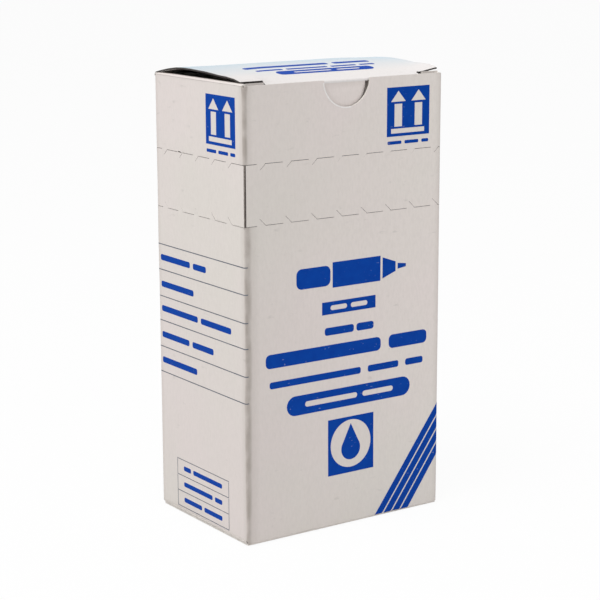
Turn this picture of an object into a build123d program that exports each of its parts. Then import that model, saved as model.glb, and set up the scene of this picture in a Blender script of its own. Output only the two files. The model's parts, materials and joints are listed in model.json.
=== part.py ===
from build123d import *
import os
from math import cos, radians, tan

# A folding carton with a tear-off hood and a tuck lid, holding a dozen flat correction pens.
# Millimetres. The origin is the middle of the base, the front faces -Y and the lid is on top.

# Pens, stood cap up in columns across the carton and in rows from front to back.
pen_width = 23.2
pen_depth = 11.75
pen_length = 125.0
pen_columns = 3
pen_rows = 4
pen_gap = 0.4

# Carton board, its folds and the room above the pens.
board = 0.5
fold_radius = 0.9
crease_gap = 0.1
head_space = 10.2
lid_clearance = 0.3
glue_flap_width = 12.0
flap_relief = 0.6
minor_flap_length = 30.0

# Tear strip: two rows of slits all round, each slit with a tail that runs into the strip.
hood_height = 22.8
strip_height = 18.0
strip_start_gap = 0.35
tear_pitch = 9.15
tear_slit_length = 6.3
tear_slit = 0.25
tear_tail_run = 2.4
tear_tail_drop = 2.0

# Lid, tuck flap, dust flaps and thumb notch.
lid_rise = 3.3
lid_side_relief = 0.2
tuck_tilt = 12.0
tuck_clearance = 0.5
tuck_side_relief = 0.9
tuck_corner = 5.0
lock_slit_length = 7.2
lock_slit = 0.5
dust_flap_length = 23.0
dust_front_setback = 5.7
dust_rear_setback = 4.5
dust_rise = 0.5
dust_rear_angle = 22.0
dust_corner = 4.0
notch_width = 16.8
notch_depth = 8.2

# Pen barrel and cap. The narrow sides of a pen are round, with this share of its depth as their rise.
round_side_share = 0.2
barrel_height = 82.0
barrel_wall = 1.0
barrel_chamfer = 1.0
seat_height = 8.0
neck_diameter = 8.0
neck_height = 4.0
neck_bore = 5.6
cap_wall = 1.1
cap_taper = 2.2
cap_chamfer = 1.2
cap_fit = 0.1
cap_clearance = 0.4

# Pen nozzle, metal tip, needle valve, seal and mixing weight.
nozzle_fit = 0.05
nozzle_plug_length = 5.0
nozzle_web = 1.0
nozzle_flange = 1.2
nozzle_height = 7.0
nozzle_base_diameter = 7.4
nozzle_end_diameter = 4.6
nozzle_bore = 3.2
feed_bore = 1.2
tip_height = 9.0
tip_base_diameter = 4.4
tip_end_diameter = 1.6
tip_bore = 1.1
tip_shank_length = 3.0
needle_diameter = 0.7
needle_reach = 0.6
needle_tail = 6.0
collar_diameter = 2.4
collar_height = 0.8
spring_diameter = 2.8
spring_wire = 0.3
spring_turns = 5
seal_height = 3.0
seal_diameter = 5.0
weight_diameter = 6.0
weight_length = 7.0
weight_clearance = 0.2

# Carton size, worked out from the pens that it holds.
inside_width = pen_columns * pen_width + (pen_columns + 1) * pen_gap + board
inside_depth = pen_rows * pen_depth + (pen_rows + 1) * pen_gap
carton_width = inside_width + 2 * board
carton_depth = inside_depth + 2 * board
half_width = carton_width / 2
half_depth = carton_depth / 2
seam_face = half_width - board

# Heights from the floor upwards. Three layers of board lie under the pens.
outer_flap_level = 0
inner_flap_level = board
minor_flap_level = 2 * board
pen_foot = 3 * board
pen_top = pen_foot + pen_length
carton_height = pen_top + head_space + lid_clearance + 2 * board
side_top = carton_height + dust_rise
shoulder_top = carton_height - board - lid_clearance
strip_high = carton_height - hood_height
strip_low = strip_high - strip_height

# Crease lines of the lid and the tuck flap, and the reach of mitres and cuts.
crease_z = carton_height - board / 2
hinge_y = half_depth - board / 2
tuck_y = -half_depth + board + crease_gap + board / 2
lid_front_y = tuck_y + board + crease_gap
tuck_length = (crease_z - board / 2 - tuck_clearance - pen_top) / cos(radians(tuck_tilt))
mitre = 2 * fold_radius
overrun = carton_width

os.makedirs("parts", exist_ok=True)


def keep(piece, name):
    """Label a finished piece and write it to its own file."""
    piece.part.label = name
    export_step(piece.part, f"parts/{name}.step")


# Each face of the carton as a plane seen from outside: x runs to the right, y runs up.
faces = {
    "front": Plane(origin=(0, -half_depth, 0), x_dir=(1, 0, 0), z_dir=(0, -1, 0)),
    "right": Plane(origin=(half_width, 0, 0), x_dir=(0, 1, 0), z_dir=(1, 0, 0)),
    "back": Plane(origin=(0, half_depth, 0), x_dir=(-1, 0, 0), z_dir=(0, 1, 0)),
    "left": Plane(origin=(-half_width, 0, 0), x_dir=(0, -1, 0), z_dir=(-1, 0, 0)),
}
face_widths = {
    "front": carton_width,
    "right": carton_depth,
    "back": carton_width,
    "left": carton_depth,
}

# Plan corners. The back panel folds inside the right panel, so its corner is one board further in.
front_left = Vector(-half_width, -half_depth)
front_right = Vector(half_width, -half_depth)
back_left = Vector(-half_width, half_depth)
back_seam = Vector(seam_face, half_depth)


def mitred_area(start, end, start_gap=0, end_gap=0):
    """Plan area of a wall between two corners, cut at 45 degrees at both ends."""
    along = (end - start).normalized()
    inward = along.rotate(Axis.Z, 90)
    first = start + along * start_gap
    last = end - along * end_gap
    return [first, last, last + (inward - along) * mitre, first + (inward + along) * mitre]


def wall_plan(right_face, area, square_start=False):
    """Plan of one wall: the part of the folded sheet that lies in the given area."""
    width = right_face + half_width
    middle = (right_face - half_width) / 2
    with BuildSketch() as plan:
        with Locations((middle, 0)):
            RectangleRounded(width, carton_depth, fold_radius)
            inner_radius = fold_radius - board
            RectangleRounded(width - 2 * board, inside_depth, inner_radius, mode=Mode.SUBTRACT)
        if square_start:
            with Locations(front_left + Vector(fold_radius, fold_radius) / 2):
                Rectangle(fold_radius, fold_radius)
            with Locations(front_left + Vector(board, board) + Vector(fold_radius, fold_radius) / 2):
                Rectangle(fold_radius, fold_radius, mode=Mode.SUBTRACT)
        Polygon(*area, align=None, mode=Mode.INTERSECT)
    return plan.sketch


def right_wall_plan():
    """The right wall is folded at the front and ends in a raw square edge at the rear seam."""
    fold_end = half_depth - fold_radius
    inner_x = half_width - mitre
    area = [
        front_right,
        Vector(half_width, fold_end),
        Vector(inner_x, fold_end),
        Vector(inner_x, -half_depth + mitre),
    ]
    with BuildSketch() as plan:
        add(wall_plan(half_width, area))
        with Locations((half_width - board / 2, half_depth - fold_radius / 2)):
            Rectangle(board, fold_radius)
    return plan.sketch


def glue_flap_plan():
    """The glue flap turns the back panel's corner and lies against the inside of the right wall."""
    area = [
        back_seam - Vector(0, glue_flap_width),
        back_seam,
        back_seam - Vector(mitre, mitre),
        back_seam - Vector(mitre, glue_flap_width),
    ]
    return wall_plan(seam_face, area)


wall_plans = {
    "front": wall_plan(half_width, mitred_area(front_left, front_right)),
    "right": right_wall_plan(),
    "back": wall_plan(seam_face, mitred_area(back_seam, back_left)),
    "left": wall_plan(half_width, mitred_area(back_left, front_left)),
}
strip_plans = {
    "front": wall_plan(half_width, mitred_area(front_left, front_right, strip_start_gap), True),
    "right": wall_plans["right"],
    "back": wall_plans["back"],
    "left": wall_plan(half_width, mitred_area(back_left, front_left, 0, strip_start_gap), True),
}


def tear_starts(side):
    """Distances along a face at which its slits begin."""
    count = int(face_widths[side] / tear_pitch)
    return [(index - (count - 1) / 2) * tear_pitch for index in range(count)]


def tear_slits(side, height):
    """A row of tear slits on a face, centred on a height. The outer ones run on round the corners."""
    starts = tear_starts(side)
    corner = face_widths[side] / 2
    spans = [(start, start + tear_slit_length) for start in starts[:-1]]
    spans.append((starts[-1], corner))
    spans.append((-corner, starts[0] - tear_pitch + tear_slit_length))
    with BuildSketch(faces[side]) as slits:
        for start, end in spans:
            with Locations(((start + end) / 2, height)):
                Rectangle(end - start, tear_slit)
    return slits.sketch


def tear_tails(side, height, rise):
    """The slanted tails that lead from a row of slits into the strip."""
    with BuildSketch(faces[side]) as tails:
        with Locations(*[(start, height) for start in tear_starts(side)]):
            Polygon(
                (0, 0),
                (tear_slit, 0),
                (tear_slit - tear_tail_run, rise),
                (-tear_tail_run, rise),
                align=None,
            )
    return tails.sketch


# Base folds. Each wall of the tray turns in at its foot, and the flaps stack from the floor up.
side_views = {"front": Plane.YZ, "back": Plane.YZ, "left": Plane.XZ, "right": Plane.XZ}
outer_faces = {
    "front": -half_depth,
    "back": half_depth,
    "left": -half_width,
    "right": half_width,
}
fold_levels = {
    "front": outer_flap_level,
    "back": inner_flap_level,
    "left": minor_flap_level,
    "right": minor_flap_level,
}
flap_free_edges = {
    "front": half_depth - flap_relief,
    "back": -half_depth + board + flap_relief,
    "left": -half_width + board + minor_flap_length,
    "right": half_width - board - minor_flap_length,
}
flap_half_widths = {
    "front": half_width - flap_relief,
    "back": half_width - flap_relief,
    "left": inside_depth / 2 - flap_relief,
    "right": inside_depth / 2 - flap_relief,
}


def make_tray_wall(side):
    """A tray wall from its foot fold up to the lower row of tear slits."""
    outer = outer_faces[side]
    level = fold_levels[side]
    inward = 1 if outer < 0 else -1
    turn_start = 180 if outer < 0 else 0
    with BuildPart() as wall:
        with BuildSketch(Plane.XY.offset(level)):
            add(wall_plans[side])
        extrude(amount=strip_low - level)
        with BuildSketch(side_views[side]):
            with BuildLine():
                turn = CenterArc((outer + inward * board, level + board), board, turn_start, 45 * inward)
                Polyline(
                    turn @ 1,
                    (outer + inward * board, level + board),
                    (outer + inward * mitre, level + board),
                    (outer + inward * mitre, strip_low),
                    (outer, strip_low),
                    turn @ 0,
                )
            make_face()
        extrude(amount=overrun, both=True, mode=Mode.INTERSECT)
        extrude(tear_slits(side, strip_low - tear_slit / 2), amount=-mitre, mode=Mode.SUBTRACT)
    return wall


def make_bottom_flap(side):
    """A bottom flap from the foot fold of its wall to its free edge."""
    outer = outer_faces[side]
    level = fold_levels[side]
    inward = 1 if outer < 0 else -1
    turn_start = 225 if outer < 0 else -45
    with BuildPart() as flap:
        with BuildSketch(side_views[side]):
            with BuildLine():
                turn = CenterArc((outer + inward * board, level + board), board, turn_start, 45 * inward)
                Polyline(
                    turn @ 1,
                    (flap_free_edges[side], level),
                    (flap_free_edges[side], level + board),
                    (outer + inward * board, level + board),
                    turn @ 0,
                )
            make_face()
        extrude(amount=flap_half_widths[side], both=True)
    return flap


bottom_flap_names = {
    "front": "bottom_outer_flap",
    "back": "bottom_inner_flap",
    "left": "bottom_left_flap",
    "right": "bottom_right_flap",
}
for side in faces:
    keep(make_tray_wall(side), f"tray_{side}_panel")
    keep(make_bottom_flap(side), bottom_flap_names[side])


def make_strip_wall(side):
    """One side of the tear strip, with tails reaching in from both rows of slits."""
    with BuildPart() as wall:
        with BuildSketch(Plane.XY.offset(strip_low)):
            add(strip_plans[side])
        extrude(amount=strip_height)
        extrude(tear_tails(side, strip_high, -tear_tail_drop), amount=-mitre, mode=Mode.SUBTRACT)
        extrude(tear_tails(side, strip_low, tear_tail_drop), amount=-mitre, mode=Mode.SUBTRACT)
    return wall


for side in faces:
    keep(make_strip_wall(side), f"tear_strip_{side}")

# Glue flap, torn into three lengths with the tray, the strip and the hood.
back_top = carton_height - board - crease_gap
glue_flap_spans = {
    "tray_glue_flap": (pen_foot, strip_low),
    "tear_strip_glue_flap": (strip_low, strip_high),
    "hood_glue_flap": (strip_high, back_top - glue_flap_width),
}
for name, (low, high) in glue_flap_spans.items():
    with BuildPart() as glue_flap:
        with BuildSketch(Plane.XY.offset(low)):
            add(glue_flap_plan())
        extrude(amount=high - low)
    keep(glue_flap, name)

# Hood walls. The side walls stop under the dust flaps, with a lower shoulder at each end, where the corners of
# the lid come down. The back wall stops under the lid crease.
dust_front = -inside_depth / 2 + dust_front_setback
dust_rear = inside_depth / 2 - dust_rear_setback
crease_ends = {
    "right": (dust_front, dust_rear),
    "left": (-dust_rear, -dust_front),
}
side_wall_top = side_top - board - crease_gap
hood_tops = {
    "front": carton_height,
    "right": side_wall_top,
    "back": back_top,
    "left": side_wall_top,
}
notch_radius = (notch_width**2 / 4 + notch_depth**2) / (2 * notch_depth)


def make_hood_wall(side):
    """A hood wall above the upper row of tear slits, with its thumb notch or its shoulders."""
    with BuildPart() as wall:
        with BuildSketch(Plane.XY.offset(strip_high)):
            add(wall_plans[side])
        extrude(amount=hood_tops[side] - strip_high)
        extrude(tear_slits(side, strip_high + tear_slit / 2), amount=-mitre, mode=Mode.SUBTRACT)
        if side == "front":
            with BuildSketch(faces[side]):
                with Locations((0, carton_height - notch_depth + notch_radius)):
                    Circle(notch_radius)
            extrude(amount=-mitre, mode=Mode.SUBTRACT)
        if side in crease_ends:
            first, last = crease_ends[side]
            with BuildSketch(faces[side]):
                with Locations((first, shoulder_top)):
                    Rectangle(overrun, mitre, align=(Align.MAX, Align.MIN))
                with Locations((last, shoulder_top)):
                    Rectangle(overrun, mitre, align=(Align.MIN, Align.MIN))
            extrude(amount=-mitre, mode=Mode.SUBTRACT)
    return wall


for side in faces:
    keep(make_hood_wall(side), f"hood_{side}_panel")

# Lid: a bowed panel with round edges on both of its creases.
with BuildPart() as lid:
    with BuildSketch(Plane.YZ):
        with BuildLine(mode=Mode.PRIVATE):
            bow = ThreePointArc(
                (hinge_y, crease_z),
                ((hinge_y + lid_front_y) / 2, crease_z + lid_rise),
                (lid_front_y, crease_z),
            )
        SlotArc(bow, board)
    extrude(amount=half_width - lid_side_relief, both=True)
keep(lid, "lid_panel")

# Tuck flap: hangs from the front crease, leans inward, and is slit beside both ends of the crease.
tuck_half = inside_width / 2 - tuck_side_relief
tuck_angle = tuck_tilt - 90
tuck_run = Vector(tuck_length, 0).rotate(Axis.Z, tuck_angle)
tuck_low = crease_z + tuck_run.Y - board / 2
tuck_shoulder = carton_height - board - lock_slit
with BuildPart() as tuck:
    with BuildSketch(Plane.YZ):
        with Locations(Vector(tuck_y, crease_z) + tuck_run / 2):
            SlotCenterToCenter(tuck_length, board, rotation=tuck_angle)
    extrude(amount=tuck_half, both=True)
    with BuildSketch(Plane.XZ) as outline:
        Polygon(
            (-tuck_half, tuck_low),
            (tuck_half, tuck_low),
            (tuck_half, tuck_shoulder),
            (tuck_half - lock_slit_length, tuck_shoulder),
            (tuck_half - lock_slit_length, carton_height),
            (lock_slit_length - tuck_half, carton_height),
            (lock_slit_length - tuck_half, tuck_shoulder),
            (-tuck_half, tuck_shoulder),
            align=None,
        )
        fillet(outline.vertices().group_by(Axis.Y)[0], tuck_corner)
    extrude(amount=overrun, both=True, mode=Mode.INTERSECT)
keep(tuck, "tuck_flap")

# Dust flaps: folded in from the side walls under the lid. The slanted rear edge lets them rise behind it.
for side, inward in (("left", 1), ("right", -1)):
    root = -inward * half_width
    crease_x = root + inward * board / 2
    free_edge = crease_x + inward * (dust_flap_length + board / 2)
    with BuildPart() as dust_flap:
        with BuildSketch(Plane.XZ):
            with Locations((crease_x + inward * dust_flap_length / 2, side_top - board / 2)):
                SlotCenterToCenter(dust_flap_length, board)
        extrude(amount=inside_depth / 2, both=True)
        with BuildSketch() as outline:
            Polygon(
                (root, dust_front),
                (free_edge, dust_front),
                (free_edge, dust_rear - abs(free_edge - root) * tan(radians(dust_rear_angle))),
                (root, dust_rear),
                align=None,
            )
            fillet(outline.vertices().sort_by_distance((free_edge, dust_front))[0], dust_corner)
        extrude(amount=side_top, mode=Mode.INTERSECT)
    keep(dust_flap, f"dust_flap_{side}")

# Heights along one pen, from its foot.
seat_width = pen_width - 2 * (cap_wall + cap_fit)
seat_depth = pen_depth - 2 * (cap_wall + cap_fit)
seat_top = barrel_height + seat_height
neck_top = seat_top + neck_height
nozzle_low = neck_top - nozzle_plug_length
cone_low = neck_top + nozzle_flange
nozzle_top = cone_low + nozzle_height
tip_top = nozzle_top + tip_height
needle_top = tip_top + needle_reach
shank_low = nozzle_top - tip_shank_length
collar_low = shank_low - nozzle_fit - collar_height
needle_low = collar_low - needle_tail
spring_low = nozzle_low + nozzle_web
seal_low = needle_top + cap_fit
seal_top = seal_low + seal_height

# Pen places. The glue flap takes up one board on the right, so the pens stand half a board to the left.
column_pitch = pen_width + pen_gap
row_pitch = pen_depth + pen_gap
pen_places = [
    Vector(
        (column - (pen_columns - 1) / 2) * column_pitch - board / 2,
        (row - (pen_rows - 1) / 2) * row_pitch,
        pen_foot,
    )
    for row in range(pen_rows)
    for column in range(pen_columns)
]
drawn_pen = pen_columns + pen_columns // 2
pen_names = [f"pen_{index + 1:02d}" for index in range(len(pen_places))]


def flat_section(stand, height, width, depth):
    """The flat section of a pen at a height above its foot, with round narrow sides."""
    flat = width / 2 - depth * round_side_share
    with BuildSketch(stand.offset(height)) as section:
        with BuildLine():
            right = ThreePointArc((flat, -depth / 2), (width / 2, 0), (flat, depth / 2))
            left = ThreePointArc((-flat, depth / 2), (-width / 2, 0), (-flat, -depth / 2))
            Line(right @ 1, left @ 0)
            Line(left @ 1, right @ 0)
        make_face()
    return section.sketch


def make_flat(stand, profile):
    """A flat pen piece: the pen's section run up its length and trimmed to half a side profile."""
    with BuildPart() as piece:
        extrude(flat_section(stand, 0, pen_width, pen_depth), amount=pen_length)
        with BuildSketch(Plane(origin=stand.origin, x_dir=(0, 1, 0), z_dir=(1, 0, 0))):
            Polygon(*profile, align=None)
            mirror(about=Plane.YZ)
        extrude(amount=pen_width, both=True, mode=Mode.INTERSECT)
    return piece


def make_barrel(stand):
    """The outside of a barrel up to the shoulder that the cap stands on."""
    profile = [
        (0, 0),
        (pen_depth / 2 - barrel_chamfer, 0),
        (pen_depth / 2, barrel_chamfer),
        (pen_depth / 2, barrel_height),
        (0, barrel_height),
    ]
    return make_flat(stand, profile)


def make_cap(stand):
    """The outside of a cap, which narrows from the barrel's shoulder to the top."""
    narrow = pen_depth / 2 - (pen_length - cap_chamfer - barrel_height) * tan(radians(cap_taper))
    profile = [
        (0, barrel_height),
        (pen_depth / 2, barrel_height),
        (narrow, pen_length - cap_chamfer),
        (narrow - cap_chamfer, pen_length),
        (0, pen_length),
    ]
    return make_flat(stand, profile)


# Closed pens: a filled barrel with its cap pushed home.
for name, place in zip(pen_names, pen_places):
    if name != pen_names[drawn_pen]:
        keep(make_barrel(Plane(origin=place)), f"{name}_barrel")
        keep(make_cap(Plane(origin=place)), f"{name}_cap")

# The pen that can be drawn out and uncapped is made whole, with everything inside it.
stand = Plane(origin=pen_places[drawn_pen])
drawn_name = pen_names[drawn_pen]
upright = (Align.CENTER, Align.CENTER, Align.MIN)

with BuildPart() as barrel:
    add(make_barrel(stand).part)
    extrude(flat_section(stand, barrel_height, seat_width, seat_depth), amount=seat_height)
    with Locations(stand.offset(seat_top)):
        Cylinder(neck_diameter / 2, neck_height, align=upright)
    hollow = flat_section(
        stand, barrel_wall, pen_width - 2 * barrel_wall, pen_depth - 2 * barrel_wall
    )
    extrude(hollow, amount=barrel_height - 2 * barrel_wall, mode=Mode.SUBTRACT)
    throat = flat_section(
        stand, barrel_wall, seat_width - 2 * barrel_wall, seat_depth - 2 * barrel_wall
    )
    extrude(throat, amount=seat_top - 2 * barrel_wall, mode=Mode.SUBTRACT)
    with Locations(stand.offset(barrel_height)):
        Cylinder(neck_bore / 2, neck_top - barrel_height, align=upright, mode=Mode.SUBTRACT)
keep(barrel, f"{drawn_name}_barrel")

with BuildPart() as weight:
    with Locations(stand.offset(barrel_wall + weight_clearance)):
        Cylinder(weight_diameter / 2, weight_length, align=upright)
keep(weight, f"{drawn_name}_mixing_weight")

with BuildPart() as nozzle:
    with Locations(stand.offset(nozzle_low)):
        Cylinder(neck_bore / 2 - nozzle_fit, nozzle_plug_length, align=upright)
    with Locations(stand.offset(neck_top)):
        Cylinder(neck_diameter / 2, nozzle_flange, align=upright)
    with Locations(stand.offset(cone_low)):
        Cone(nozzle_base_diameter / 2, nozzle_end_diameter / 2, nozzle_height, align=upright)
    with Locations(stand.offset(spring_low)):
        Cylinder(nozzle_bore / 2, nozzle_top - spring_low, align=upright, mode=Mode.SUBTRACT)
    with Locations(stand.offset(nozzle_low)):
        Cylinder(feed_bore / 2, nozzle_web, align=upright, mode=Mode.SUBTRACT)
keep(nozzle, f"{drawn_name}_nozzle")

with BuildPart() as tip:
    with Locations(stand.offset(shank_low)):
        Cylinder(nozzle_bore / 2 - nozzle_fit, tip_shank_length, align=upright)
    with Locations(stand.offset(nozzle_top)):
        Cone(tip_base_diameter / 2, tip_end_diameter / 2, tip_height, align=upright)
    with Locations(stand.offset(shank_low)):
        Cylinder(tip_bore / 2, tip_top - shank_low, align=upright, mode=Mode.SUBTRACT)
keep(tip, f"{drawn_name}_metal_tip")

with BuildPart() as needle:
    with Locations(stand.offset(needle_low)):
        Cylinder(needle_diameter / 2, needle_top - needle_low, align=upright)
    with Locations(stand.offset(collar_low)):
        Cylinder(collar_diameter / 2, collar_height, align=upright)
    chamfer(needle.faces().sort_by(Axis.Z)[-1].edges(), needle_diameter / 4)
keep(needle, f"{drawn_name}_needle")

# The valve spring stands on the nozzle's web and pushes the needle's collar up against the metal tip.
coil_low = spring_low + nozzle_fit + spring_wire / 2
coil_rise = collar_low - nozzle_fit - spring_wire / 2 - coil_low
with BuildPart() as spring:
    with BuildLine():
        coil = Helix(
            coil_rise / spring_turns,
            coil_rise,
            (spring_diameter - spring_wire) / 2,
            center=stand.offset(coil_low).origin,
        )
    with BuildSketch(Plane(origin=coil @ 0, z_dir=coil % 0)):
        Rectangle(spring_wire, spring_wire)
    sweep(path=coil, is_frenet=True)
keep(spring, f"{drawn_name}_valve_spring")

with BuildPart() as cap:
    add(make_cap(stand).part)
    socket = flat_section(stand, barrel_height, seat_width + 2 * cap_fit, seat_depth + 2 * cap_fit)
    extrude(socket, amount=seat_height + cap_clearance, mode=Mode.SUBTRACT)
    with Locations(stand.offset(barrel_height)):
        Cylinder(
            neck_diameter / 2 + cap_clearance,
            nozzle_top + cap_clearance - barrel_height,
            align=upright,
            mode=Mode.SUBTRACT,
        )
        Cylinder(
            seal_diameter / 2 + nozzle_fit,
            seal_top - barrel_height,
            align=upright,
            mode=Mode.SUBTRACT,
        )
keep(cap, f"{drawn_name}_cap")

with BuildPart() as seal:
    with Locations(stand.offset(seal_low)):
        Cylinder(seal_diameter / 2, seal_height, align=upright)
keep(seal, f"{drawn_name}_cap_seal")
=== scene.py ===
"""An upright folding carton of correction pens: folded board, blue print and the pens inside."""

import json
from math import cos, pi, radians, sin, sqrt, tan

import bmesh
import bpy
from mathutils import Matrix, Vector, noise


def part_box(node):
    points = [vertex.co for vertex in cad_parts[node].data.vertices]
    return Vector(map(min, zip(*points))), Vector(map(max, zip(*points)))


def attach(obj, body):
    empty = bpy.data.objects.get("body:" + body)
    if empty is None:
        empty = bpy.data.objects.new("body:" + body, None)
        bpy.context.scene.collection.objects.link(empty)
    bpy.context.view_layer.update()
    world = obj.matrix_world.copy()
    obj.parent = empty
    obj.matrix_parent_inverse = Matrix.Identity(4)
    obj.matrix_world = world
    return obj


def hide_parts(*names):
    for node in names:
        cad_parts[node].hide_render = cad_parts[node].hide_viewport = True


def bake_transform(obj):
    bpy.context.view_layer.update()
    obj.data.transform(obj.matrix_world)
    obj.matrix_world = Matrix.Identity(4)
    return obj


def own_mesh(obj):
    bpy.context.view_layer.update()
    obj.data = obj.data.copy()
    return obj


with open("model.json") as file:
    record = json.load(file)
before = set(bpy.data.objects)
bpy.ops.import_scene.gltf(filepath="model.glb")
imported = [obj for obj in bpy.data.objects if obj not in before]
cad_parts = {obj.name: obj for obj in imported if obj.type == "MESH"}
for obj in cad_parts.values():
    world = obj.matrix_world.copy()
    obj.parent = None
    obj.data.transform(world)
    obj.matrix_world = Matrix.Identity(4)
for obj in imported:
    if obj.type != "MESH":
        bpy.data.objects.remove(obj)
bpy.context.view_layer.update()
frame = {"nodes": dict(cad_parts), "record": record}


def box_mm(node):
    """The lowest and highest corners of a solid, in millimetres."""
    low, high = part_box(node)
    return low * 1000, high * 1000


# Sizes are in millimetres. Those of the carton come from its solids.
strip_corner, strip_end = box_mm("tear_strip_front")
flap_corner, flap_end = box_mm("tray_glue_flap")
dust_corner, dust_end = box_mm("dust_flap_left")
tuck_corner, tuck_end = box_mm("tuck_flap")
lid_end = box_mm("lid_panel")[1]
half_width = -box_mm("tray_left_panel")[0].x
half_depth = -box_mm("tray_front_panel")[0].y
tear_low = strip_corner.z
tear_high = strip_end.z
front_top = box_mm("hood_front_panel")[1].z
side_top = box_mm("hood_left_panel")[1].z
back_top = box_mm("hood_back_panel")[1].z
seam_face = flap_end.x
board = dust_end.z - dust_corner.z
lid_rise = lid_end.z - front_top

# Folds, and how the board is divided along them.
fold_radius = 0.75
crease_radius = 0.6
lid_crease = (0.58, 0.7)
foot_radius = 0.75
bend_steps = 6
foot_steps = 4
fold_sides = (0.7, 1.8)
grid = 4.0
tray_rows = 12
hood_rows = 5
strip_rows = 4
tuck_rows = 8
weld = 0.002
cut_slack = 1e-4
least_slant = 1e-3
sharp_turn = 0.6
hair_gap = 0.05

# Tear slits, their slanted tails, the strip's cut end and the torn bridge.
tear_pitch = 9.15
slit_length = 6.3
slit_height = 0.14
tear_shift = {"front": -1.4}
low_tail = (2.1, 2.0)
high_tail = (1.7, -1.6)
shut_low_tails = {"left": (0, 1, 2)}
shut_high_tails = {"front": (3, 4, 5, 6)}
shut_width = 0.03
strip_gap = 0.38
torn_slit = ("left", 1)
torn_height = 0.42
torn_inset = 0.2
torn_steep = 0.6
torn_slack = 0.7

# Thumb notch with a painted highlight along its rim, and the nick at the top of the front left fold.
notch_half = 8.4
notch_depth = 8.2
notch_middle = 0.5
notch_steps = 24
highlight_width = 0.4
highlight_start = -174
highlight_turn = 94
nick_half = 0.45
nick_depth = 0.75

# Lid: its sagging sides, lifted corner, lock slits and free ears.
lid_drop = 0.1
lid_inset = 0.7
lid_skew = 0.65
lid_parts = 20
lip_height = 0.2
left_sag_share = 0.16
right_sag_share = 0.15
corner_lift = 0.65
corner_from = 2
corner_run = 16
lock_length = 8.2
lock_rise = 0.5
lock_gap = 0.9
slit_relief = 0.7
root_slack = 0.01
left_ear_lift = 0.9
right_ear_lift = 1.3
ear_setback = 0.7
ear_lead = 5
ear_run = 6
ear_share = 0.3
ear_fade = 2.5
ear_from = 9
ear_bend = 11
ear_columns = (-5, -2.5, -1, 0, 1.5, 3, 5, 6.6)

# Tuck flap, dented beside the notch, and the bent board in its crease.
tuck_tilt = radians(-3)
tuck_round = 5.0
tuck_wear = 1.5
tuck_columns = [-24, -16, -8, 0, 4, 4.8, 5.4, 6, 6.6, 7.2, 7.7, 8.2, 8.8, 11, 13, 15, 17, 24]
tuck_bend = 1.8
rim_reach = 1.0
dent_run = 1.2
dent_end = 16
dent_fade = 5
dent_height = 10
crease_reach = 1.2
crease_cuts = (0.3, 0.6)
crease_inset = 0.4
crease_faces = (-0.1, 0.04)

# Dust flaps, and the slump of the right one.
dust_round = 4.0
dust_lip = 0.8
dust_dip = 1.7
dust_slant = radians(22)
dust_overlap = 0.2
dust_columns = [-20, -16, -8, 0, 8, 15, 20]
dip_run = 6
corner_slump = 0.6
slump_length = 20.0

# Wear of the folds, with painted shade beside the tray's front left fold, and dents of the panels.
far_from_fold = 9.0
mild_wear = 1.1
wear_shift = 0.4
tray_shift = 0.35
shift_from = 40
shift_run = 20
tray_shade_lean = 0.75
hood_lean = 1.2
left_lean = 1.15
foot_relief = 0.25
relief_height = 30
top_wear = 0.4
top_reach = 2.5
top_run = 2
buckle_depth = 0.09
buckle_span = 24
foot_wear = 0.5
foot_span = 3

# Print and pens.
ink_rise = 0.025
pen_edge = 0.6

foot_levels = {"flap": 2 * board, "back": board, "left": 2 * board, "front": 0.0, "right": 2 * board}


class Fold:
    """Board seen edge on: straight runs joined by round left turns, with the outer face on the right."""

    def __init__(self, points, *radii):
        self.stretches = []
        self.length = 0.0
        corners = [Vector(point) for point in points]
        last = len(corners) - 2
        bends = [0] + [radii[index % len(radii)] for index in range(last)] + [0]
        for index in range(last + 1):
            ahead = (corners[index + 1] - corners[index]).normalized()
            start = corners[index] + ahead * bends[index]
            stop = corners[index + 1] - ahead * bends[index + 1]
            self.add(start, ahead, (stop - start).length, 0)
            if index < last:
                self.add(stop, ahead, bends[index + 1] * pi / 2, bends[index + 1])

    def add(self, start, ahead, length, radius):
        self.stretches.append((self.length, length, start, ahead, radius))
        self.length += length

    def at(self, along):
        """The outer face's point and outward direction at a distance along the board."""
        for begin, length, start, ahead, radius in self.stretches:
            if along <= begin + length:
                break
        outward = Vector((ahead.y, -ahead.x))
        if not radius:
            return start + ahead * (along - begin), outward
        turned = Matrix.Rotation((along - begin) / radius, 2) @ outward
        return start + (turned - outward) * radius, turned

    def centre(self, run):
        """Where the middle plane of the carton crosses a straight run."""
        begin, length, start, ahead, radius = self.stretches[2 * run]
        return begin - start.dot(ahead)

    def lines(self):
        """Where the board is divided so that it can bend and show its folds."""
        found = set()
        for begin, length, start, ahead, radius in self.stretches:
            count = bend_steps if radius else max(1, round(length / grid))
            found.update(round(begin + length * step / count, 4) for step in range(count + 1))
            if not radius and length > 2 * grid:
                for near in fold_sides:
                    found.update((round(begin + near, 4), round(begin + length - near, 4)))
        return sorted(found)

    def crease(self, along, worst=None, shift=0.0, lean=1.0):
        """The distance to the middle of the nearest fold, with one fold worn worse than the rest."""
        folds = [begin + length / 2 for begin, length, start, ahead, radius in self.stretches if radius]
        spans = [abs(along - fold) + mild_wear for fold in folds]
        if worst is not None:
            span = along - folds[worst] - shift
            spans[worst] = lean * span if span > 0 else -left_lean * span
        return min(spans, default=far_from_fold)


def block(left, low, right, high):
    return [(left, low), (right, low), (right, high), (left, high)]


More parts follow.
